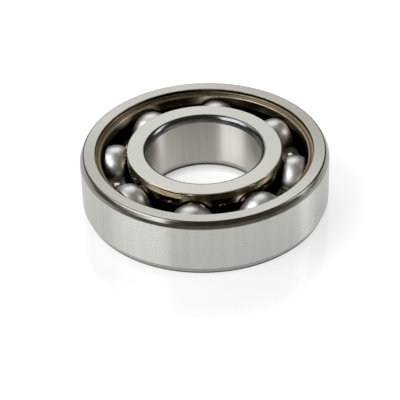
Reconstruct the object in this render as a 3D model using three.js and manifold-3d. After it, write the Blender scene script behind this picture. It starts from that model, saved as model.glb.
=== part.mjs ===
// Open single-row deep-groove ball bearing with a riveted ribbon cage.
// Millimetres. The bearing axis is +Z and the origin is the centre of the bearing.

import * as THREE from 'three';
import { mergeVertices } from 'three/addons/utils/BufferGeometryUtils.js';
import Module from 'manifold-3d';

// ---- Driving dimensions ----

// Boundary dimensions
const BORE_DIAMETER = 50;
const OUTER_DIAMETER = 110;
const WIDTH = 27;

// Balls
const BALL_DIAMETER = 17.4625;
const BALL_COUNT = 8;
const FIRST_BALL_ANGLE = THREE.MathUtils.degToRad(36.3);
const BALL_GAP = 0.15; // between a ball and either raceway

// Raceways: the groove's radius exceeds the ball's by this factor, and its shoulders stand this high
const GROOVE_CONFORMITY = 1.04;
const SHOULDER_HEIGHT = 3.08;

// Corners of the rings: how far each one cuts back the side face, and how far it runs along the ring
const OUTER_CORNER = { radial: 2.0, axial: 3.3 };
const BORE_CORNER = { radial: 2.1, axial: 3.4 };
const EDGE_BREAK = 0.35;

// Recess turned in the mouth of the outer ring, beside each shoulder
const RECESS_STEP = 2.4;
const RECESS_DEPTH = 1.8;
const RECESS_SLOPE = 0.7;

// Ribbon cage
const CAGE_SHEET = 1.1;
const CAGE_SIDE_GAP = 1.5; // between the cage and the shoulder of either ring
const POCKET_CLEARANCE = 0.25;
const TOUCH_GAP = 0.3; // between pieces that are clamped together

// Rivets
const RIVET_SHANK_DIAMETER = 2.4;
const RIVET_HEAD_DIAMETER = 4.2;
const RIVET_HEAD_HEIGHT = 1.1;

// Fineness of the facets
const RING_SEGMENTS = 64;
const RACEWAY_STEPS = 8;
const CORNER_STEPS = 3;
const BALL_DETAIL = 3;
const POCKET_SEGMENTS = 20;
const POCKET_BANDS = 12;
const RIVET_SEGMENTS = 10;

// ---- Derived dimensions ----

const HALF_WIDTH = WIDTH / 2;
const BORE_RADIUS = BORE_DIAMETER / 2;
const OUTER_RADIUS = OUTER_DIAMETER / 2;
const PITCH_RADIUS = (BORE_RADIUS + OUTER_RADIUS) / 2;
const BALL_RADIUS = BALL_DIAMETER / 2;
const BALL_PITCH = (2 * Math.PI) / BALL_COUNT;
const BALL_ANGLES = Array.from({ length: BALL_COUNT }, (_, i) => i * BALL_PITCH);
const RIVET_ANGLES = BALL_ANGLES.map((angle) => angle + BALL_PITCH / 2);
const GROOVE_RADIUS = BALL_RADIUS * GROOVE_CONFORMITY;
const GROOVE_REACH = BALL_RADIUS + BALL_GAP; // from the pitch circle to the bottom of either groove
const INNER_SHOULDER_RADIUS = PITCH_RADIUS - GROOVE_REACH + SHOULDER_HEIGHT;
const OUTER_SHOULDER_RADIUS = PITCH_RADIUS + GROOVE_REACH - SHOULDER_HEIGHT;
const RECESS_RADIUS = OUTER_SHOULDER_RADIUS + RECESS_STEP;
const CAGE_INNER_RADIUS = INNER_SHOULDER_RADIUS + CAGE_SIDE_GAP;
const CAGE_OUTER_RADIUS = OUTER_SHOULDER_RADIUS - CAGE_SIDE_GAP;
const POCKET_RADIUS = BALL_RADIUS + POCKET_CLEARANCE;
const FLAT_BOTTOM = TOUCH_GAP / 2;
const FLAT_TOP = FLAT_BOTTOM + CAGE_SHEET;
const RIVET_HOLE_RADIUS = RIVET_SHANK_DIAMETER / 2 + TOUCH_GAP;

// ---- Materials ----

const steel = (color, roughness) => new THREE.MeshStandardMaterial({ color, roughness, metalness: 1 });

// ---- Boolean helpers ----

const wasm = await Module();
wasm.setup();

// Turns a closed three.js geometry into a solid that can be cut and joined.
function toSolid(geometry) {
  const bare = geometry.clone();
  bare.deleteAttribute('normal');
  bare.deleteAttribute('uv');
  const merged = mergeVertices(bare);
  return new wasm.Manifold(new wasm.Mesh({
    numProp: 3,
    vertProperties: new Float32Array(merged.attributes.position.array),
    triVerts: new Uint32Array(merged.index.array),
  }));
}

// Turns a solid back into a three.js geometry.
function toGeometry(solid) {
  const { vertProperties, triVerts } = solid.getMesh();
  const geometry = new THREE.BufferGeometry();
  geometry.setAttribute('position', new THREE.BufferAttribute(vertProperties, 3));
  geometry.setIndex(new THREE.BufferAttribute(triVerts, 1));
  geometry.computeVertexNormals();
  return geometry;
}

// ---- Turned shapes ----

const point = (radius, z) => new THREE.Vector2(radius, z);

// Turns an outline of (radius, z) points about the +Z axis.
function turned(outline, segments) {
  return new THREE.LatheGeometry(outline, segments).rotateX(Math.PI / 2);
}

// Closes the outline of a ring that is the same on both sides of its middle plane. The upper half runs
// from the outermost surface, over the side face, to the innermost one.
function symmetricRing(upperHalf) {
  const lowerHalf = upperHalf.filter((p) => p.y > 0).map((p) => point(p.x, -p.y)).reverse();
  return [...upperHalf, ...lowerHalf, upperHalf[0].clone()];
}

// A quarter of an ellipse from the cylinder at `radius` to the side face, which it meets at
// radius + inward * corner.radial; inward is -1 on an outside corner and 1 on a bore.
function corner(radius, inward, { radial, axial }) {
  return Array.from({ length: CORNER_STEPS + 1 }, (_, i) => {
    const angle = (Math.PI / 2) * (i / CORNER_STEPS);
    const r = radius + inward * radial * (1 - Math.cos(angle));
    return point(r, HALF_WIDTH - axial * (1 - Math.sin(angle)));
  });
}

// The upper half of a raceway groove, from its shoulder to the middle plane. `outward` is 1 for the
// groove of the outer ring and -1 for that of the inner ring.
function raceway(outward) {
  const centre = PITCH_RADIUS + outward * (GROOVE_REACH - GROOVE_RADIUS);
  const shoulderAngle = Math.acos(1 - SHOULDER_HEIGHT / GROOVE_RADIUS);
  return Array.from({ length: RACEWAY_STEPS / 2 + 1 }, (_, i) => {
    const angle = shoulderAngle * (1 - (2 * i) / RACEWAY_STEPS);
    return point(centre + outward * GROOVE_RADIUS * Math.cos(angle), GROOVE_RADIUS * Math.sin(angle));
  });
}

function outerRing() {
  const recessFloor = HALF_WIDTH - RECESS_DEPTH;
  return turned(symmetricRing([
    ...corner(OUTER_RADIUS, -1, OUTER_CORNER),
    point(RECESS_RADIUS, HALF_WIDTH),
    point(RECESS_RADIUS, recessFloor),
    point(OUTER_SHOULDER_RADIUS, recessFloor - RECESS_SLOPE),
    ...raceway(1),
  ]), RING_SEGMENTS);
}

function innerRing() {
  return turned(symmetricRing([
    ...raceway(-1).reverse(),
    point(INNER_SHOULDER_RADIUS, HALF_WIDTH - EDGE_BREAK),
    point(INNER_SHOULDER_RADIUS - EDGE_BREAK, HALF_WIDTH),
    ...corner(BORE_RADIUS, 1, BORE_CORNER).reverse(),
  ]), RING_SEGMENTS);
}

// ---- Cage ----

// A flat annulus as wide as the cage, from one height to another.
function cageBand(bottom, top) {
  return toSolid(turned([
    point(CAGE_OUTER_RADIUS, bottom),
    point(CAGE_OUTER_RADIUS, top),
    point(CAGE_INNER_RADIUS, top),
    point(CAGE_INNER_RADIUS, bottom),
    point(CAGE_OUTER_RADIUS, bottom),
  ], RING_SEGMENTS));
}

// A sphere about each ball's centre, its facets lying outside the stated radius and its poles on the
// line through the bearing axis.
function ballSpheres(radius) {
  const facetFactor = Math.cos(Math.PI / POCKET_SEGMENTS) * Math.cos(Math.PI / (2 * POCKET_BANDS));
  const sphere = new THREE.SphereGeometry(radius / facetFactor, POCKET_SEGMENTS, POCKET_BANDS)
    .rotateZ(Math.PI / 2)
    .translate(PITCH_RADIUS, 0, 0);
  return BALL_ANGLES.map((angle) => toSolid(sphere.clone().rotateZ(angle)));
}

function rivetHoles() {
  const hole = new THREE.CylinderGeometry(RIVET_HOLE_RADIUS, RIVET_HOLE_RADIUS, 4 * FLAT_TOP, RIVET_SEGMENTS)
    .rotateX(Math.PI / 2)
    .translate(PITCH_RADIUS, 0, 0);
  return RIVET_ANGLES.map((angle) => toSolid(hole.clone().rotateZ(angle)));
}

// The upper half of the ribbon cage: flats joined by domed pockets, all cut to the width of the band.
function cageHalf() {
  const join = (solid, other) => solid.add(other);
  const cut = (solid, other) => solid.subtract(other);
  const outerDomes = ballSpheres(POCKET_RADIUS + CAGE_SHEET).reduce(join);
  const bandSpace = cageBand(FLAT_BOTTOM, POCKET_RADIUS + 2 * CAGE_SHEET);
  const blank = outerDomes.intersect(bandSpace).add(cageBand(FLAT_BOTTOM, FLAT_TOP));
  const pocketed = ballSpheres(POCKET_RADIUS).reduce(cut, blank);
  return toGeometry(rivetHoles().reduce(cut, pocketed));
}

// ---- Rivet ----

// A shank with a low domed head beyond each flat.
function rivet() {
  const seat = FLAT_TOP + TOUCH_GAP;
  const headRadius = RIVET_HEAD_DIAMETER / 2;
  const upperHalf = [
    point(RIVET_SHANK_DIAMETER / 2, seat),
    point(headRadius, seat),
    point(headRadius, seat + RIVET_HEAD_HEIGHT / 3),
    point(headRadius * 0.6, seat + RIVET_HEAD_HEIGHT * 0.85),
    point(0, seat + RIVET_HEAD_HEIGHT),
  ];
  const lowerHalf = upperHalf.map((p) => point(p.x, -p.y)).reverse();
  return turned([...lowerHalf, ...upperHalf], RIVET_SEGMENTS);
}

// ---- Assembly ----

function addPiece(group, name, geometry, material, angle = null) {
  const piece = new THREE.Mesh(geometry, material);
  piece.name = name;
  if (angle !== null) {
    piece.position.set(PITCH_RADIUS * Math.cos(angle), PITCH_RADIUS * Math.sin(angle), 0);
    piece.rotation.z = angle;
  }
  group.add(piece);
}

const bearing = new THREE.Group();
addPiece(bearing, 'outer_ring', outerRing(), steel(0xb9bab4, 0.32));
addPiece(bearing, 'inner_ring', innerRing(), steel(0xc9cac5, 0.3));

// The balls and their cage, turned as one set
const ballSet = new THREE.Group();
ballSet.rotation.z = FIRST_BALL_ANGLE;
bearing.add(ballSet);

const upperShape = cageHalf();
const lowerShape = upperShape.clone().rotateX(Math.PI);
addPiece(ballSet, 'cage_upper', upperShape, steel(0xc4c7c9, 0.28));
addPiece(ballSet, 'cage_lower', lowerShape, steel(0xc4c7c9, 0.28));

const ballShape = new THREE.IcosahedronGeometry(BALL_RADIUS, BALL_DETAIL);
BALL_ANGLES.forEach((angle, i) => {
  addPiece(ballSet, `ball_${i + 1}`, ballShape, steel(0xd8dadc, 0.06), angle);
});

const rivetShape = rivet();
RIVET_ANGLES.forEach((angle, i) => {
  addPiece(ballSet, `rivet_${i + 1}`, rivetShape, steel(0xd0d2d2, 0.2), angle);
});

export default bearing;
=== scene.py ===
"""The looks of an open deep-groove ball bearing: fine meshes, steel finishes and a plain studio.

The main sizes are read from the CAD frame, which is in metres: +Z is the bearing's axis, and the origin
is its centre. The small shapes that the CAD solids leave out are named values.
"""
import math

import bpy
import numpy as np
from mathutils import Matrix, Vector


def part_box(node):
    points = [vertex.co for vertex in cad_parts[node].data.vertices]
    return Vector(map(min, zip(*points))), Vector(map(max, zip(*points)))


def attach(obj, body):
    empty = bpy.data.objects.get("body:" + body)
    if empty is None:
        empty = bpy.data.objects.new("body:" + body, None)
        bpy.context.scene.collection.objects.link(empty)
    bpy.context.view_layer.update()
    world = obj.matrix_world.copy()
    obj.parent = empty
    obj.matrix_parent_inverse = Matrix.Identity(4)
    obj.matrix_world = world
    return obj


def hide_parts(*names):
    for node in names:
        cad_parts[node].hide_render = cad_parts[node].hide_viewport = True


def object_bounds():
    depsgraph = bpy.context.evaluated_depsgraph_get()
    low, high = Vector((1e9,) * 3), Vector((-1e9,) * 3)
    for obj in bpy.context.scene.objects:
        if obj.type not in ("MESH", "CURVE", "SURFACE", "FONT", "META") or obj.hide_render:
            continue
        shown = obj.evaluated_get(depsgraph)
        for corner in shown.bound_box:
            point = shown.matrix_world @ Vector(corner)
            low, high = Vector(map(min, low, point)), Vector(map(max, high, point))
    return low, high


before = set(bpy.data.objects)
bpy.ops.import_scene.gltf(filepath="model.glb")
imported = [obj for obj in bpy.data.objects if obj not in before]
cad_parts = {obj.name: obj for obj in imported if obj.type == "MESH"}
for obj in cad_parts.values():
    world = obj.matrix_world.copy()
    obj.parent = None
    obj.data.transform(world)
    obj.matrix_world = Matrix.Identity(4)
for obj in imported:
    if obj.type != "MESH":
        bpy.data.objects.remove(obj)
CAD_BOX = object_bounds()

MM = 0.001
TOUCHING = 0.01 * MM

# ---- Fineness of the meshes ----

RING_SEGMENTS = 288
FILLET_STEPS = 4
CORNER_STEPS = 8
ROUND_STEPS = 16
GROOVE_STEPS = 24
TURNED_STEPS = 8
BALL_GRID = 24
FLAT_STEPS, BEND_STEPS, DOME_STEPS = 6, 8, 28
BAND_STEPS, SHEAR_STEPS = 10, 3
RIVET_SEGMENTS, RIVET_DOME_STEPS = 40, 8
MERGE_DISTANCE = 0.001 * MM
NORMAL_WEIGHT = 60

# ---- Small shapes that the CAD solids leave out ----

EDGE_FILLET = 0.22 * MM
SHOULDER_FILLET = 0.35 * MM
SUPPORT = 0.35 * MM
# The most of a straight stretch that a fillet takes, and the most of what is left that its support takes.
FILLET_SHARE, SUPPORT_SHARE = 0.45, 0.4

# Where the outer corner's two bevels start, meet and end, as shares of its depth and of its height.
BEVEL_POINTS = ((0.0, 0.07), (0.31, 0.50), (0.80, 1.0))
BEVEL_FOOT, BEVEL_MIDDLE, BEVEL_BROW = 1.0 * MM, 2.0 * MM, 0.9 * MM
BEVEL_WEAR = 0.15

# Fine turned grooves. On the inner ring's shoulder they are placed by how far they lie below its top, and
# on the outer ring's shelf by how far they lie from its lip.
TURNED_WIDTH, TURNED_DEPTH = 0.42 * MM, 0.20 * MM
SHOULDER_GROOVES = (0.90 * MM, 1.55 * MM, 2.20 * MM, 2.85 * MM)
SHELF_GROOVES = (1.20 * MM,)

# The cage: the bend at a pocket's foot, the rounding and the worn rim of its edges, how far above the
# flats its painted shade reaches, and how far from a rivet's axis it is surely flat.
ROOT_BEND = 0.9 * MM
SHEARED_EDGE = 0.3 * MM
WORN_RIM = 0.9 * SHEARED_EDGE
SHADE_REACH = 3.5 * MM
RIVET_SURROUND = 2.0 * MM

# A rivet head: its rim's height as a share of its own, its foot's radius as a share of its rim's, and how
# full its dome is.
RIVET_RIM, RIVET_FOOT, RIVET_DOME_POWER = 0.3, 0.985, 0.8

# ---- The studio ----

CAMERA_ELEVATION = math.radians(34.77)
CAMERA_DISTANCE = 720.5 * MM
CAMERA_AIM = Vector((-2.6, 0.0, -14.8)) * MM
CAMERA_ROLL = math.radians(-1.855)
CAMERA_LENS = 147.3
CLIP_NEAR, CLIP_FAR = 0.05, 50.0

FLOOR_SIZE = 12.0
FLOOR_GREY, FLOOR_ROUGHNESS, FLOOR_SPECULAR = 0.40, 0.10, 0.4
FLOOR_GLOW = 0.80
# The glow starts at a gap from where each ring touches the floor, which is a painted contact shadow. A disc
# that is shifted to the front dims it to a share, as a painted reflection, and so does the edge of the bore,
# as painted shade.
OUTER_SHADOW_GAP, BORE_SHADOW_GAP, CONTACT_SHADOW_FADE = 0.5 * MM, 1.3 * MM, 0.4 * MM
PAINTED_REFLECTION_SHIFT, PAINTED_REFLECTION_FADE, PAINTED_REFLECTION_SHARE = 20 * MM, 25 * MM, 0.87
BORE_SHADE_FADE, BORE_SHADE_SHARE = 6 * MM, 0.5
ROOM_COLOUR = (0.082, 0.066, 0.037)

# Each panel's name, azimuth, distance in metres, spread, bottom, top and radiance. Angles are in degrees.
PANELS = (
    ("left_panel", 209, 1.0, 52, 18, 60, 3.4),
    ("high_left_panel", 165, 0.8, 44, 36, 70, 1.6),
    ("back_panel", 97, 1.2, 46, 24, 60, 1.08),
    ("right_strip", 6, 1.2, 17, 8, 50, 3.3),
    ("front_panel", 283, 2.0, 70, 2, 14, 0.15),
    ("right_low_panel", 335, 1.6, 36, 2, 16, 0.08),
)


# ---- Sizes read from the frame ----

def node_points(node):
    """The vertices of a CAD node, as rows of x, y, z."""
    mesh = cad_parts[node].data
    points = np.empty(len(mesh.vertices) * 3, np.float32)
    mesh.vertices.foreach_get("co", points)
    return points.reshape(-1, 3).astype(float)


def node_centre(node):
    low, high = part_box(node)
    return (low + high) / 2


def radii_and_heights(node):
    """How far each vertex of a CAD node is from the bearing's axis, and its height."""
    points = node_points(node)
    return np.hypot(points[:, 0], points[:, 1]), points[:, 2]


def near(values, target):
    return np.abs(values - target) < TOUCHING


class RingSizes:
    """The sizes of a ring's upper half. Its seat is the outside or the bore, and its mouth is the edge of
    the side face that is nearer the balls."""

    def __init__(self, node, groove_inside):
        radii, heights = radii_and_heights(node)
        self.top = heights.max()
        self.seat = radii.max() if groove_inside else radii.min()
        self.shoulder = radii.min() if groove_inside else radii.max()
        self.corner_height = heights[near(radii, self.seat)].max()
        face = radii[near(heights, self.top)]
        self.face_at_seat = face.max() if groove_inside else face.min()
        self.face_at_mouth = face.min() if groove_inside else face.max()
        middle = radii[near(heights, 0.0)]
        self.groove = middle.min() if groove_inside else middle.max()
        shoulder_heights = heights[near(radii, self.shoulder) & (heights > 0)]
        self.groove_edge = shoulder_heights.min()
        self.shoulder_top = shoulder_heights.max()
        mouth_heights = heights[near(radii, self.face_at_mouth) & (heights > 0)]
        self.mouth_bottom = mouth_heights.min()


class CageSizes:
    """The band, the flats and the pockets of the upper half of the cage."""

    def __init__(self):
        points = node_points("cage_upper")
        radii, heights = radii_and_heights("cage_upper")
        self.inner, self.outer = radii.min(), radii.max()
        self.flat_bottom = heights.min()
        rivet = node_centre("rivet_1")
        from_rivet = np.hypot(points[:, 0] - rivet.x, points[:, 1] - rivet.y)
        self.flat_top = heights[from_rivet < RIVET_SURROUND].max()
        self.sheet = self.flat_top - self.flat_bottom
        self.pocket_top = heights.max()


OUTER = RingSizes("outer_ring", groove_inside=True)
INNER = RingSizes("inner_ring", groove_inside=False)
CAGE = CageSizes()
BALLS = sorted(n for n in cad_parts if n.startswith("ball_"))
RIVETS = sorted(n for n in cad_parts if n.startswith("rivet_"))
BALL_CENTRES = {n: node_centre(n) for n in BALLS}
BALL_RADIUS = np.linalg.norm(node_points("ball_1") - np.array(BALL_CENTRES["ball_1"]), axis=1).max()
PITCH_RADIUS = BALL_CENTRES["ball_1"].xy.length
FIRST_BALL_ANGLE = math.atan2(BALL_CENTRES["ball_1"].y, BALL_CENTRES["ball_1"].x)
BALL_PITCH = 2 * math.pi / len(BALLS)


# ---- Meshes and objects ----

def set_mesh(mesh, points, faces):
    mesh.from_pydata([tuple(p) for p in points], [], faces)
    mesh.validate()


def new_object(name, data):
    thing = bpy.data.objects.new(name, data)
    bpy.context.scene.collection.objects.link(thing)
    return thing


def new_piece(name, points, faces, materials, finishes=None, wear=None):
    """A smooth-shaded piece in the bearing's frame, with a finish for each face and a wear for each point."""
    mesh = bpy.data.meshes.new(name)
    set_mesh(mesh, points, faces)
    for material in materials:
        mesh.materials.append(material)
    mesh.polygons.foreach_set("use_smooth", np.ones(len(mesh.polygons), bool))
    if finishes is not None:
        mesh.polygons.foreach_set("material_index", np.asarray(finishes, np.int32))
    if wear is None:
        wear = np.zeros(len(points))
    attribute = mesh.attributes.new("wear", "FLOAT", "POINT")
    attribute.data.foreach_set("value", np.asarray(wear, np.float32))
    piece = new_object(name, mesh)
    piece.modifiers.new("weighted_normals", "WEIGHTED_NORMAL").weight = NORMAL_WEIGHT
    return piece


def loop_faces(rows, count):
    """Quads between neighbouring rows of `count` points. The rows and the points both close on themselves."""
    faces = []
    for row in range(rows):
        here, there = row * count, (row + 1) % rows * count
        for i in range(count):
            j = (i + 1) % count
            faces.append((here + i, there + i, there + j, here + j))
    return faces


def merged(points, faces):
    """Joins points that lie in the same place."""
    keys = np.round(points / MERGE_DISTANCE).astype(np.int64)
    _, first, index = np.unique(keys, axis=0, return_index=True, return_inverse=True)
    index = index.reshape(-1)
    kept = [tuple(dict.fromkeys(int(index[v]) for v in face)) for face in faces]
    return points[first], [face for face in kept if len(face) > 2]


# ---- Outlines of the rings ----

class Outline:
    """An outline of (radius, height) points, each with the finish of the stretch that it starts, and the
    wear that its edge shows."""

    def __init__(self):
        self.points, self.finishes, self.wear = [], [], []

    def add(self, radius, height, finish, wear=0.0):
        self.points.append((radius, height))
        self.finishes.append(finish)
        self.wear.append(wear)

    def fillet(self, before, corner, after, radius, finish, steps=FILLET_STEPS, wear=1.0):
        """Rounds a corner, with a support point on either side of it."""
        corner = Vector(corner)
        a, b = (Vector(before) - corner), (Vector(after) - corner)
        length_a, length_b = a.length, b.length
        a.normalize()
        b.normalize()
        half = a.angle(b) / 2
        reach = min(radius / math.tan(half), FILLET_SHARE * length_a, FILLET_SHARE * length_b)
        radius = reach * math.tan(half)
        centre = corner + (a + b).normalized() * (radius / math.sin(half))
        start, end = corner + a * reach, corner + b * reach
        support_a = min(SUPPORT, SUPPORT_SHARE * (length_a - reach))
        support_b = min(SUPPORT, SUPPORT_SHARE * (length_b - reach))
        first, last = start - centre, end - centre
        turn = first.angle_signed(last)
        self.add(*(start + a * support_a), self.finishes[-1])
        for i in range(steps + 1):
            angle = -turn * i / steps
            self.add(*(centre + Matrix.Rotation(angle, 2) @ first), finish, wear=wear)
        self.add(*(end + b * support_b), finish)

    def mirrored(self):
        """The closed outline: this upper half, and the same half below the middle plane."""
        whole = Outline()
        whole.points, whole.finishes, whole.wear = list(self.points), list(self.finishes), list(self.wear)
        for i in range(len(self.points) - 1, -1, -1):
            radius, height = self.points[i]
            if height > TOUCHING:
                whole.add(radius, -height, self.finishes[i - 1], self.wear[i])
        return whole


def rounded_corner(outline, ring, finish):
    """A quarter of an ellipse, from the side face to the seat."""
    across, down = ring.seat - ring.face_at_seat, ring.top - ring.corner_height
    for i in range(ROUND_STEPS + 1):
        angle = math.pi / 2 * (1 - i / ROUND_STEPS)
        radius = ring.face_at_seat + across * math.cos(angle)
        outline.add(radius, ring.corner_height + down * math.sin(angle), finish)


def groove(outline, ring, finish, from_shoulder):
    """The upper half of a raceway: an arc through its edge and its bottom."""
    centre = (ring.groove**2 - ring.shoulder**2 - ring.groove_edge**2) / (2 * (ring.groove - ring.shoulder))
    radius = abs(ring.groove - centre)
    side = math.copysign(1.0, ring.groove - centre)
    widest = math.asin(ring.groove_edge / radius)
    for i in range(GROOVE_STEPS + 1):
        share = 1 - i / GROOVE_STEPS if from_shoulder else i / GROOVE_STEPS
        angle = widest * share
        outline.add(centre + side * radius * math.cos(angle), radius * math.sin(angle), finish)


def turned_grooves(outline, start, end, middles, finish):
    """Fine round-bottomed grooves, cut to the left of the line from `start` to `end`. Each of the `middles`
    is how far a groove lies from `end`."""
    start, end = Vector(start), Vector(end)
    along = (end - start).normalized()
    inward = Vector((-along.y, along.x))
    for middle in sorted(middles, reverse=True):
        for i in range(TURNED_STEPS + 1):
            share = 2 * i / TURNED_STEPS - 1
            depth = TURNED_DEPTH * math.cos(share * math.pi / 2)
            point = end + along * (share * TURNED_WIDTH / 2 - middle) + inward * depth
            outline.add(*point, finish)


def bevels(ring):
    """Where the two bevels of the outer corner start, meet and end."""
    depth, height = ring.face_at_seat - ring.seat, ring.top - ring.corner_height
    return [(ring.seat + depth * across, ring.corner_height + height * up) for across, up in BEVEL_POINTS]


def outer_ring_outline():
    ring, out = OUTER, Outline()
    lower, middle, upper = bevels(ring)
    mouth = (ring.face_at_mouth, ring.top)
    wall_foot = (ring.face_at_mouth, ring.mouth_bottom)
    lip = (ring.shoulder, ring.shoulder_top)
    edge = (ring.shoulder, ring.groove_edge)
    out.add(ring.seat, 0.0, "outside")
    out.fillet((ring.seat, 0.0), lower, middle, BEVEL_FOOT, "corner", wear=BEVEL_WEAR)
    out.fillet(lower, middle, upper, BEVEL_MIDDLE, "corner", wear=BEVEL_WEAR)
    out.fillet(middle, upper, mouth, BEVEL_BROW, "corner", steps=CORNER_STEPS, wear=0.0)
    # The side face starts where the last bevel's arc ends.
    out.finishes[-2:] = ["outer_side", "outer_side"]
    out.fillet((ring.face_at_seat, ring.top), mouth, wall_foot, EDGE_FILLET, "recess_wall")
    out.fillet(mouth, wall_foot, lip, EDGE_FILLET, "recess")
    turned_grooves(out, wall_foot, lip, SHELF_GROOVES, "recess")
    out.fillet(wall_foot, lip, edge, SHOULDER_FILLET, "outer_shoulder")
    groove(out, ring, "raceway", from_shoulder=True)
    return out.mirrored()


def inner_ring_outline():
    ring, out = INNER, Outline()
    edge = (ring.shoulder, ring.groove_edge)
    break_low = (ring.shoulder, ring.shoulder_top)
    break_high = (ring.face_at_mouth, ring.top)
    bore_side = (ring.face_at_seat, ring.top)
    groove(out, ring, "raceway", from_shoulder=False)
    out.finishes[-1] = "inner_shoulder"
    turned_grooves(out, edge, break_low, SHOULDER_GROOVES, "inner_shoulder")
    out.fillet(edge, break_low, break_high, EDGE_FILLET, "inner_shoulder")
    out.fillet(break_low, break_high, bore_side, EDGE_FILLET, "inner_side")
    rounded_corner(out, ring, "bore_corner")
    out.finishes[-1] = "bore"
    out.add(ring.seat, 0.0, "bore")
    return out.mirrored()


def revolve(name, outline, finish_materials):
    """Turns a closed outline about the bearing's axis."""
    profile = np.array(outline.points)
    radii, heights = profile[:, 0], profile[:, 1]
    angles = np.arange(RING_SEGMENTS) * 2 * math.pi / RING_SEGMENTS
    points = np.stack([np.outer(np.cos(angles), radii), np.outer(np.sin(angles), radii),
                       np.tile(heights, (RING_SEGMENTS, 1))], axis=-1).reshape(-1, 3)
    names = sorted(set(outline.finishes))
    finishes = np.tile([names.index(finish) for finish in outline.finishes], RING_SEGMENTS)
    faces = loop_faces(RING_SEGMENTS, len(profile))
    materials = [finish_materials[finish] for finish in names]
    return new_piece(name, points, faces, materials, finishes, np.tile(outline.wear, RING_SEGMENTS))


# ---- Balls ----

def ball_mesh():
    """Points and faces of a ball at the origin, made of six curved grids of quads."""
    steps = np.tan(np.linspace(-math.pi / 4, math.pi / 4, BALL_GRID + 1))
    u, v = np.meshgrid(steps, steps, indexing="ij")
    one = np.ones_like(u)
    sides = [(u, v, one), (v, u, -one), (one, u, v), (-one, v, u), (v, one, u), (u, -one, v)]
    row = BALL_GRID + 1
    points, faces = [], []
    for side in sides:
        grid = np.stack(side, axis=-1).reshape(-1, 3)
        base = len(points) * row**2
        points.append(grid / np.linalg.norm(grid, axis=1)[:, None] * BALL_RADIUS)
        for i in range(BALL_GRID):
            for j in range(BALL_GRID):
                here = base + i * row + j
                faces.append((here, here + row, here + row + 1, here + 1))
    return merged(np.concatenate(points), faces)


# ---- Cage ----

def pocket_path(radius, dome, level, bend_offset):
    """Half of the cage's section along the circle at `radius`, from the middle of a flat to the top of a
    pocket, as (angle, height) points. The dome is a sphere about the ball's centre; `level` is the flat's
    height, and `bend_offset` what the sheet's thickness adds to the radius of the bend between them."""
    chord = 2 * math.sqrt(radius * PITCH_RADIUS)
    flat_end = chord * math.sin(BALL_PITCH / 4)
    outside = math.sqrt(CAGE.pocket_top**2 - (radius - PITCH_RADIUS) ** 2)
    centre_height = CAGE.flat_top + ROOT_BEND
    centre = math.sqrt((outside + ROOT_BEND) ** 2 - centre_height**2)
    bend = ROOT_BEND + bend_offset
    meet = math.atan2(centre_height, centre)
    section = math.sqrt(dome**2 - (radius - PITCH_RADIUS) ** 2)
    path = [(flat_end + (centre - flat_end) * i / FLAT_STEPS, level) for i in range(FLAT_STEPS)]
    for i in range(BEND_STEPS):
        angle = (math.pi / 2 - meet) * i / BEND_STEPS
        path.append((centre - bend * math.sin(angle), centre_height - bend * math.cos(angle)))
    for i in range(DOME_STEPS + 1):
        angle = meet + (math.pi / 2 - meet) * i / DOME_STEPS
        path.append((section * math.cos(angle), section * math.sin(angle)))
    return [(2 * math.asin(along / chord), height) for along, height in path]


def pocket_section(radius, share):
    """The cage's section over one whole pocket. A `share` of 0 is the sheet's underside, and 1 its top."""
    upper = np.array(pocket_path(radius, CAGE.pocket_top, CAGE.flat_top, 0.0))
    lower = np.array(pocket_path(radius, CAGE.pocket_top - CAGE.sheet, CAGE.flat_bottom, CAGE.sheet))
    half = lower + (upper - lower) * share
    mirrored = half[-2:0:-1] * np.array([-1, 1])
    return np.concatenate([half, mirrored])


def sheet_outline():
    """The outline of the sheet across the band, as (radius, share) points with rounded edges."""
    inset = SHEARED_EDGE / CAGE.sheet
    turns = [math.pi / 2 * i / SHEAR_STEPS for i in range(SHEAR_STEPS + 1)]
    rounding = [(SHEARED_EDGE * (1 - math.cos(t)), inset * (1 - math.sin(t))) for t in turns]
    narrow, wide = CAGE.inner + SHEARED_EDGE, CAGE.outer - SHEARED_EDGE
    band = [wide + (narrow - wide) * i / BAND_STEPS for i in range(1, BAND_STEPS)]
    outline = [(CAGE.outer - back, 1 - down) for back, down in rounding]
    outline += [(radius, 1.0) for radius in band]
    outline += [(CAGE.inner + back, 1 - down) for back, down in reversed(rounding)]
    outline += [(CAGE.inner + back, down) for back, down in rounding]
    outline += [(radius, 0.0) for radius in reversed(band)]
    outline += [(CAGE.outer - back, down) for back, down in reversed(rounding)]
    return outline


def cage_half(name, materials):
    """The upper half of the ribbon cage, a sheet that follows the balls."""
    columns = [(radius, pocket_section(radius, share)) for radius, share in sheet_outline()]
    along = len(columns[0][1])
    points, wear = [], []
    for ball in range(len(BALLS)):
        turn = FIRST_BALL_ANGLE + ball * BALL_PITCH
        for row in range(along):
            for radius, section in columns:
                angle, height = turn - section[row, 0], section[row, 1]
                points.append((radius * math.cos(angle), radius * math.sin(angle), height))
                from_edge = min(radius - CAGE.inner, CAGE.outer - radius)
                wear.append(1.0 if from_edge < WORN_RIM else 0.0)
    return new_piece(name, points, loop_faces(along * len(BALLS), len(columns)), materials, wear=wear)


def lower_half(upper, name):
    """The lower half: the upper one mirrored in the middle plane."""
    piece = upper.copy()
    piece.data = upper.data.copy()
    piece.name = name
    piece.data.transform(Matrix.Scale(-1, 4, (0, 0, 1)))
    piece.data.flip_normals()
    bpy.context.scene.collection.objects.link(piece)
    return piece


# ---- Rivets ----

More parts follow.
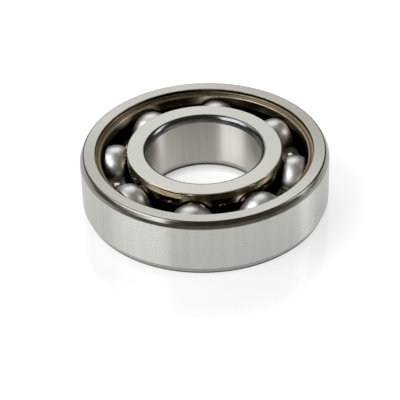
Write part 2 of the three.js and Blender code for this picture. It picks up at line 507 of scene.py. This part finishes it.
def rivet_outline():
    """The upper half of a rivet's outline, from the tip of its head to the middle plane."""
    points = node_points("rivet_1")
    centre = node_centre("rivet_1")
    reach = np.hypot(points[:, 0] - centre.x, points[:, 1] - centre.y)
    head_radius, tip = reach.max(), points[:, 2].max()
    shank = reach[reach > TOUCHING].min()
    rim = CAGE.flat_top + RIVET_RIM * (tip - CAGE.flat_top)
    outline = []
    for i in range(RIVET_DOME_STEPS + 1):
        angle = math.pi / 2 * i / RIVET_DOME_STEPS
        height = rim + (tip - rim) * math.cos(angle) ** RIVET_DOME_POWER
        outline.append((head_radius * math.sin(angle), height))
    outline += [(head_radius * RIVET_FOOT, CAGE.flat_top), (shank, CAGE.flat_top), (shank, 0.0)]
    return outline


def rivet_mesh():
    """Points and faces of a rivet that stands on the bearing's axis."""
    upper = rivet_outline()
    outline = upper + [(radius, -height) for radius, height in upper[-2::-1]]
    points, faces = [], []
    count = len(outline)
    for k in range(RIVET_SEGMENTS):
        angle = 2 * math.pi * k / RIVET_SEGMENTS
        points += [(radius * math.cos(angle), radius * math.sin(angle), height) for radius, height in outline]
        here, there = k * count, (k + 1) % RIVET_SEGMENTS * count
        faces += [(here + i + 1, there + i + 1, there + i, here + i) for i in range(count - 1)]
    return merged(np.array(points), faces)


# ---- Materials ----

NOISE_ROUGHNESS = 0.55
# How far a finish's roughness varies on either side of its own.
SIDE_SPREAD, ROUND_SPREAD, SHOULDER_SPREAD = 0.04, 0.03, 0.04
# The Mix node's sockets for colours, which come after those for numbers and vectors.
MIX_A, MIX_B, MIX_RESULT = 6, 7, 2


class Shader:
    """One principled shader with procedural detail in the piece's own coordinates. It is metal unless it is
    told otherwise."""

    def __init__(self, name, metallic=1.0):
        self.material = bpy.data.materials.new(name)
        self.material.use_nodes = True
        self.tree = self.material.node_tree
        self.principled = self.tree.nodes["Principled BSDF"]
        self.relieved = None
        self.set("Metallic", metallic)

    def set(self, socket, value):
        self.principled.inputs[socket].default_value = value

    def node(self, kind, **settings):
        node = self.tree.nodes.new(kind)
        for key, value in settings.items():
            setattr(node, key, value)
        return node

    def link(self, source, target):
        self.tree.links.new(source, target)

    def math(self, operation, a, b=0.0):
        node = self.node("ShaderNodeMath", operation=operation)
        for socket, value in zip(node.inputs, (a, b)):
            if isinstance(value, (int, float)):
                socket.default_value = value
            else:
                self.link(value, socket)
        return node.outputs[0]

    def place(self):
        """The piece's own coordinates, in metres."""
        return self.node("ShaderNodeTexCoord").outputs["Object"]

    def place_parts(self):
        """The piece's own coordinates, as a node with an output for each."""
        split = self.node("ShaderNodeSeparateXYZ")
        self.link(self.place(), split.inputs[0])
        return split

    def distance(self, centre):
        """How far the surface is from `centre`, in metres."""
        offset = self.node("ShaderNodeVectorMath", operation="DISTANCE")
        self.link(self.place(), offset.inputs[0])
        offset.inputs[1].default_value = centre
        return offset.outputs["Value"]

    def polar(self, round_scale, across_scale, across):
        """Coordinates that run round the axis without a seam: `round_scale` units for each radian, and
        `across_scale` for each metre of height or radius."""
        split = self.place_parts()
        flat = self.node("ShaderNodeCombineXYZ")
        self.link(split.outputs["X"], flat.inputs["X"])
        self.link(split.outputs["Y"], flat.inputs["Y"])
        unit = self.node("ShaderNodeVectorMath", operation="NORMALIZE")
        self.link(flat.outputs[0], unit.inputs[0])
        scaled = self.node("ShaderNodeVectorMath", operation="SCALE")
        self.link(unit.outputs[0], scaled.inputs[0])
        scaled.inputs["Scale"].default_value = round_scale
        radius = self.node("ShaderNodeVectorMath", operation="LENGTH")
        self.link(flat.outputs[0], radius.inputs[0])
        source = split.outputs["Z"] if across == "height" else radius.outputs["Value"]
        parts = self.node("ShaderNodeSeparateXYZ")
        self.link(scaled.outputs[0], parts.inputs[0])
        joined = self.node("ShaderNodeCombineXYZ")
        self.link(parts.outputs["X"], joined.inputs["X"])
        self.link(parts.outputs["Y"], joined.inputs["Y"])
        self.link(self.math("MULTIPLY", source, across_scale), joined.inputs["Z"])
        return joined.outputs[0]

    def noise(self, vector, scale, detail):
        node = self.node("ShaderNodeTexNoise")
        self.link(vector, node.inputs["Vector"])
        node.inputs["Scale"].default_value = scale
        node.inputs["Detail"].default_value = detail
        node.inputs["Roughness"].default_value = NOISE_ROUGHNESS
        return node.outputs["Fac"]

    def mottle(self, scale, detail=3.0):
        """Noise that is the same in all directions."""
        return self.noise(self.place(), scale, detail)

    def lines(self, round_scale, across_scale, across="height", detail=3.0):
        """Noise that is drawn out round the axis, into lines."""
        return self.noise(self.polar(round_scale, across_scale, across), 1.0, detail)

    def between(self, factor, low=0.0, high=1.0, start=0.3, end=0.7):
        """Maps a factor from start..end, where most of a noise lies, to low..high."""
        node = self.node("ShaderNodeMapRange")
        self.link(factor, node.inputs["Value"])
        for socket, value in zip(("From Min", "From Max", "To Min", "To Max"), (start, end, low, high)):
            node.inputs[socket].default_value = value
        return node.outputs["Result"]

    def mix(self, factor, a, b):
        node = self.node("ShaderNodeMix", data_type="RGBA")
        self.link(factor, node.inputs["Factor"])
        for socket, value in ((node.inputs[MIX_A], a), (node.inputs[MIX_B], b)):
            if isinstance(value, tuple):
                socket.default_value = (*value, 1.0)
            else:
                self.link(value, socket)
        return node.outputs[MIX_RESULT]

    def tones(self, grain, dark, light):
        """A colour that `grain` takes from dark to light."""
        return self.mix(self.between(grain), dark, light)

    def worn(self, colour, bright):
        """Brightens the colour where the vertex attribute `wear` marks an edge."""
        wear = self.node("ShaderNodeAttribute", attribute_name="wear")
        patchy = self.between(self.mottle(scale=900.0, detail=2.0), low=0.25)
        return self.mix(self.math("MULTIPLY", wear.outputs["Fac"], patchy), colour, bright)

    def colour(self, output):
        self.link(output, self.principled.inputs["Base Color"])

    def roughness(self, grain, low, high):
        """Lets `grain` take the roughness from low to high."""
        self.link(self.between(grain, low, high), self.principled.inputs["Roughness"])

    def relief(self, grain, depth):
        """Lets `grain` raise the surface by up to `depth` metres, over any relief that it has already."""
        bump = self.node("ShaderNodeBump")
        bump.inputs["Strength"].default_value = 1.0
        bump.inputs["Distance"].default_value = depth
        self.link(grain, bump.inputs["Height"])
        if self.relieved:
            self.link(self.relieved, bump.inputs["Normal"])
        self.relieved = bump.outputs[0]
        self.link(self.relieved, self.principled.inputs["Normal"])

    def drawn_out(self, amount, turn):
        """Draws the highlights out, as grinding lines do. `turn` is their direction, in whole turns."""
        self.set("Anisotropic", amount)
        self.set("Anisotropic Rotation", turn)
        tangent = self.node("ShaderNodeTangent", direction_type="RADIAL", axis="Z")
        self.link(tangent.outputs[0], self.principled.inputs["Tangent"])


def ground_side(name, roughness, anisotropy, dark, light):
    """A side face, ground flat: faint arcs over a satin grey."""
    steel = Shader(name)
    steel.drawn_out(anisotropy, turn=0.0)
    arcs = steel.lines(round_scale=60.0, across_scale=2500.0, across="radius", detail=4.0)
    blotches = steel.between(steel.mottle(scale=90.0), high=0.35)
    grey = steel.mix(blotches, steel.tones(arcs, dark, light), light)
    steel.colour(steel.worn(grey, bright=(0.85, 0.85, 0.83)))
    steel.roughness(arcs, roughness - SIDE_SPREAD, roughness + SIDE_SPREAD)
    steel.relief(arcs, depth=0.0004 * MM)
    return steel.material


def ground_round(name, roughness, dark, light):
    """The outside or the bore, ground round: fine lines along the circle and faint bands along the axis."""
    steel = Shader(name)
    steel.drawn_out(amount=1.0, turn=0.25)
    lines = steel.lines(round_scale=8.0, across_scale=9000.0, detail=4.0)
    bands = steel.between(steel.lines(round_scale=14.0, across_scale=6.0), high=0.7, start=0.4, end=0.6)
    steel.colour(steel.mix(bands, steel.tones(lines, dark, light), dark))
    steel.roughness(lines, roughness - ROUND_SPREAD, roughness + ROUND_SPREAD)
    steel.relief(lines, depth=0.0003 * MM)
    return steel.material


def dark_corner():
    """The outer ring's corner, turned before hardening and never ground: smooth and dark."""
    steel = Shader("corner")
    scale = steel.lines(round_scale=10.0, across_scale=2500.0)
    grey = steel.tones(scale, dark=(0.24, 0.234, 0.218), light=(0.31, 0.303, 0.283))
    steel.colour(steel.worn(grey, bright=(0.50, 0.495, 0.47)))
    steel.roughness(scale, low=0.16, high=0.22)
    steel.relief(scale, depth=0.0003 * MM)
    return steel.material


def bore_corner():
    """The inner ring's corner: darker still and bluish above, and plain grey on the underside. The two tones
    are painted shade and painted light on one steel: the underside is the lighter.
    """
    steel = Shader("bore_corner")
    scale = steel.lines(round_scale=30.0, across_scale=1500.0, detail=4.0)
    blue = steel.tones(scale, dark=(0.17, 0.173, 0.182), light=(0.25, 0.257, 0.272))
    # Painted light: the underside gets a lighter grey than the top.
    plain = (0.40, 0.385, 0.36)
    height = steel.place_parts().outputs["Z"]
    underside = steel.between(height, low=1.0, high=0.0, start=-TOUCHING, end=TOUCHING)
    steel.colour(steel.mix(underside, blue, plain))
    steel.roughness(scale, low=0.14, high=0.20)
    steel.relief(scale, depth=0.0006 * MM)
    return steel.material


def recess(name, dark, light):
    """The turned recess beside the outer ring's shoulder, brown from heat treatment. The near-black colours
    that its wall gets are painted shade.
    """
    steel = Shader(name)
    lines = steel.lines(round_scale=12.0, across_scale=9000.0)
    steel.colour(steel.worn(steel.tones(lines, dark, light), bright=(0.55, 0.48, 0.34)))
    steel.roughness(lines, low=0.26, high=0.40)
    steel.relief(lines, depth=0.001 * MM)
    return steel.material


def shoulder(name, roughness, dark, light):
    """The shoulder beside the raceway: turned and warm in tone. Its dark colours are partly painted shade for
    the gap between the rings.
    """
    steel = Shader(name)
    lines = steel.lines(round_scale=10.0, across_scale=7000.0)
    steel.colour(steel.worn(steel.tones(lines, dark, light), bright=(0.72, 0.66, 0.52)))
    steel.roughness(lines, roughness - SHOULDER_SPREAD, roughness + SHOULDER_SPREAD)
    steel.relief(lines, depth=0.0008 * MM)
    return steel.material


def raceway():
    """The groove that the balls roll in, honed to a near mirror. Its near-black colours are painted shade for
    the deep gap between the rings.
    """
    steel = Shader("raceway")
    lines = steel.lines(round_scale=6.0, across_scale=12000.0)
    # Painted shade: near-black colours, far darker than the steel's own.
    steel.colour(steel.tones(lines, dark=(0.08, 0.07, 0.055), light=(0.13, 0.115, 0.095)))
    steel.roughness(lines, low=0.10, high=0.16)
    steel.relief(lines, depth=0.0002 * MM)
    return steel.material


def polished_ball():
    """The balls, polished, under a thin uneven film of oil."""
    steel = Shader("ball")
    film = steel.mottle(scale=260.0, detail=4.0)
    steel.colour(steel.tones(film, dark=(0.70, 0.70, 0.70), light=(0.78, 0.78, 0.78)))
    steel.roughness(film, low=0.03, high=0.07)
    return steel.material


def pressed_sheet():
    """The cage: pressed steel sheet, satin and slightly mottled, and darker low down, near the flats, with
    painted shade.
    """
    steel = Shader("cage_sheet")
    mottle = steel.mottle(scale=420.0, detail=5.0)
    grain = steel.mottle(scale=3200.0)
    pale = steel.tones(mottle, dark=(0.86, 0.88, 0.91), light=(0.94, 0.96, 0.985))
    shade_grey = (0.22, 0.21, 0.19)
    # Painted shade: the sheet turns dark grey towards the flats, deep between the rings.
    height = steel.math("ABSOLUTE", steel.place_parts().outputs["Z"])
    low_shade = steel.between(height, low=1.0, high=0.0, start=CAGE.flat_top, end=CAGE.flat_top + SHADE_REACH)
    steel.colour(steel.mix(low_shade, steel.worn(pale, bright=(0.86, 0.87, 0.89)), shade_grey))
    steel.roughness(mottle, low=0.35, high=0.45)
    steel.relief(mottle, depth=0.004 * MM)
    steel.relief(grain, depth=0.0015 * MM)
    return steel.material


def rivet_steel():
    """The rivets, their heads left uneven by the tool."""
    steel = Shader("rivet")
    mottle = steel.mottle(scale=1500.0, detail=4.0)
    steel.colour(steel.tones(mottle, dark=(0.66, 0.66, 0.65), light=(0.80, 0.80, 0.79)))
    steel.roughness(mottle, low=0.14, high=0.28)
    steel.relief(mottle, depth=0.006 * MM)
    return steel.material


def ring_finishes():
    """The material of each finish that the rings' outlines name."""
    return {
        "outside": ground_round("ground_outside", roughness=0.27,
                                dark=(0.52, 0.522, 0.498), light=(0.61, 0.612, 0.588)),
        "bore": ground_round("ground_bore", roughness=0.45,
                             dark=(0.66, 0.65, 0.61), light=(0.76, 0.75, 0.71)),
        "outer_side": ground_side("outer_side", roughness=0.38, anisotropy=0.7,
                                  dark=(0.61, 0.61, 0.585), light=(0.73, 0.73, 0.70)),
        "inner_side": ground_side("inner_side", roughness=0.33, anisotropy=0.2,
                                  dark=(0.62, 0.62, 0.595), light=(0.70, 0.70, 0.675)),
        "corner": dark_corner(),
        "bore_corner": bore_corner(),
        "recess": recess("recess", dark=(0.20, 0.16, 0.10), light=(0.34, 0.275, 0.18)),
        # Painted shade: the recess wall gets near-black colours.
        "recess_wall": recess("recess_wall", dark=(0.03, 0.022, 0.014), light=(0.06, 0.045, 0.03)),
        # The shoulders' dark colours are partly painted shade for the gap between the rings.
        "outer_shoulder": shoulder("outer_shoulder", roughness=0.30,
                                   dark=(0.12, 0.09, 0.06), light=(0.19, 0.15, 0.10)),
        "inner_shoulder": shoulder("inner_shoulder", roughness=0.12,
                                   dark=(0.11, 0.085, 0.055), light=(0.33, 0.27, 0.18)),
        "raceway": raceway(),
    }


# ---- Assembly ----

def fit_to_frame(piece, body, node):
    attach(piece, body)
    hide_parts(node)


def build_rings():
    finishes = ring_finishes()
    outer = revolve("outer_ring_fine", outer_ring_outline(), finishes)
    inner = revolve("inner_ring_fine", inner_ring_outline(), finishes)
    fit_to_frame(outer, "outer_ring", "outer_ring")
    fit_to_frame(inner, "inner_ring", "inner_ring")


def build_balls():
    steel = polished_ball()
    points, faces = ball_mesh()
    for node, centre in BALL_CENTRES.items():
        ball = new_piece(node + "_fine", points + np.array(centre), faces, [steel])
        fit_to_frame(ball, node, node)


def build_cage():
    upper = cage_half("cage_upper_fine", [pressed_sheet()])
    lower = lower_half(upper, "cage_lower_fine")
    fit_to_frame(upper, "cage", "cage_upper")
    fit_to_frame(lower, "cage", "cage_lower")


def build_rivets():
    steel = rivet_steel()
    points, faces = rivet_mesh()
    for node in RIVETS:
        centre = node_centre(node)
        rivet = new_piece(node + "_fine", points + np.array((centre.x, centre.y, 0.0)), faces, [steel])
        fit_to_frame(rivet, "cage", node)


# ---- Studio ----

def add_camera():
    top_centre = Vector((0, 0, CAD_BOX[1].z))
    back = Vector((0, -math.cos(CAMERA_ELEVATION), math.sin(CAMERA_ELEVATION)))
    camera = new_object("camera", bpy.data.cameras.new("camera"))
    camera.location = top_centre + back * CAMERA_DISTANCE
    look = (CAMERA_AIM - camera.location).to_track_quat("-Z", "Y")
    camera.rotation_mode = "QUATERNION"
    camera.rotation_quaternion = look @ Matrix.Rotation(CAMERA_ROLL, 3, "Z").to_quaternion()
    camera.data.lens = CAMERA_LENS
    camera.data.clip_start, camera.data.clip_end = CLIP_NEAR, CLIP_FAR
    bpy.context.scene.camera = camera


def add_panel(name, azimuth, distance, spread, bottom, top, radiance):
    """An upright rectangular light that faces the bearing. Azimuth 0 is +X and 90 is +Y, away from the
    camera; `spread`, `bottom` and `top` are the angles that the panel covers, in degrees."""
    azimuth = math.radians(azimuth)
    outward = Vector((math.cos(azimuth), math.sin(azimuth), 0))
    low, high = distance * math.tan(math.radians(bottom)), distance * math.tan(math.radians(top))
    light = bpy.data.lights.new(name, "AREA")
    light.shape = "RECTANGLE"
    light.size, light.size_y = 2 * distance * math.tan(math.radians(spread / 2)), high - low
    light.energy = radiance * math.pi * light.size * light.size_y
    lamp = new_object(name, light)
    lamp.location = outward * distance + Vector((0, 0, (low + high) / 2))
    lamp.rotation_mode = "QUATERNION"
    lamp.rotation_quaternion = outward.to_track_quat("Z", "Y")
    lamp.visible_camera = False


def floor_material():
    """A glossy white light table that glows everywhere but under the bearing and a gap round it, which is a
    painted contact shadow. The glow is dimmer in front of the bearing, as a painted reflection of it, and
    round the edge of its bore, as painted shade."""
    table = Shader("floor", metallic=0.0)
    table.set("Roughness", FLOOR_ROUGHNESS)
    table.set("Specular IOR Level", FLOOR_SPECULAR)
    table.set("Base Color", (FLOOR_GREY, FLOOR_GREY, FLOOR_GREY, 1))
    table.set("Emission Color", (1, 1, 1, 1))
    radius, from_reflection_centre = table.distance((0, 0, 0)), table.distance((0, -PAINTED_REFLECTION_SHIFT, 0))
    # No glow at each ring's foot and a gap beyond it: a painted contact shadow.
    outer, inner = OUTER.face_at_seat + OUTER_SHADOW_GAP, INNER.face_at_seat - BORE_SHADOW_GAP
    outside = table.between(radius, 0.0, FLOOR_GLOW, outer, outer + CONTACT_SHADOW_FADE)
    inside = table.between(radius, FLOOR_GLOW, 0.0, inner - CONTACT_SHADOW_FADE, inner)
    # The shifted disc is a painted reflection of the bearing, and the dimming near the bore's edge is painted
    # shade.
    front = table.between(from_reflection_centre, PAINTED_REFLECTION_SHARE, 1.0, OUTER.seat, OUTER.seat + PAINTED_REFLECTION_FADE)
    bore = table.between(radius, 1.0, BORE_SHADE_SHARE, inner - BORE_SHADE_FADE, inner)
    glow = table.math("ADD", table.math("MULTIPLY", outside, front), table.math("MULTIPLY", inside, bore))
    table.link(glow, table.principled.inputs["Emission Strength"])
    return table.material


def add_floor():
    half = FLOOR_SIZE / 2
    mesh = bpy.data.meshes.new("floor")
    set_mesh(mesh, [(-half, -half, 0), (half, -half, 0), (half, half, 0), (-half, half, 0)], [(0, 1, 2, 3)])
    mesh.materials.append(floor_material())
    floor = new_object("floor", mesh)
    floor.location.z = CAD_BOX[0].z


def add_world():
    world = bpy.data.worlds.new("world")
    world.use_nodes = True
    background = world.node_tree.nodes["Background"]
    background.inputs["Color"].default_value = (*ROOM_COLOUR, 1)
    background.inputs["Strength"].default_value = 1.0
    bpy.context.scene.world = world


def build_studio():
    add_world()
    add_floor()
    for panel in PANELS:
        add_panel(*panel)
    add_camera()
    bpy.context.scene.view_settings.view_transform = "Standard"


build_rings()
build_balls()
build_cage()
build_rivets()
build_studio()
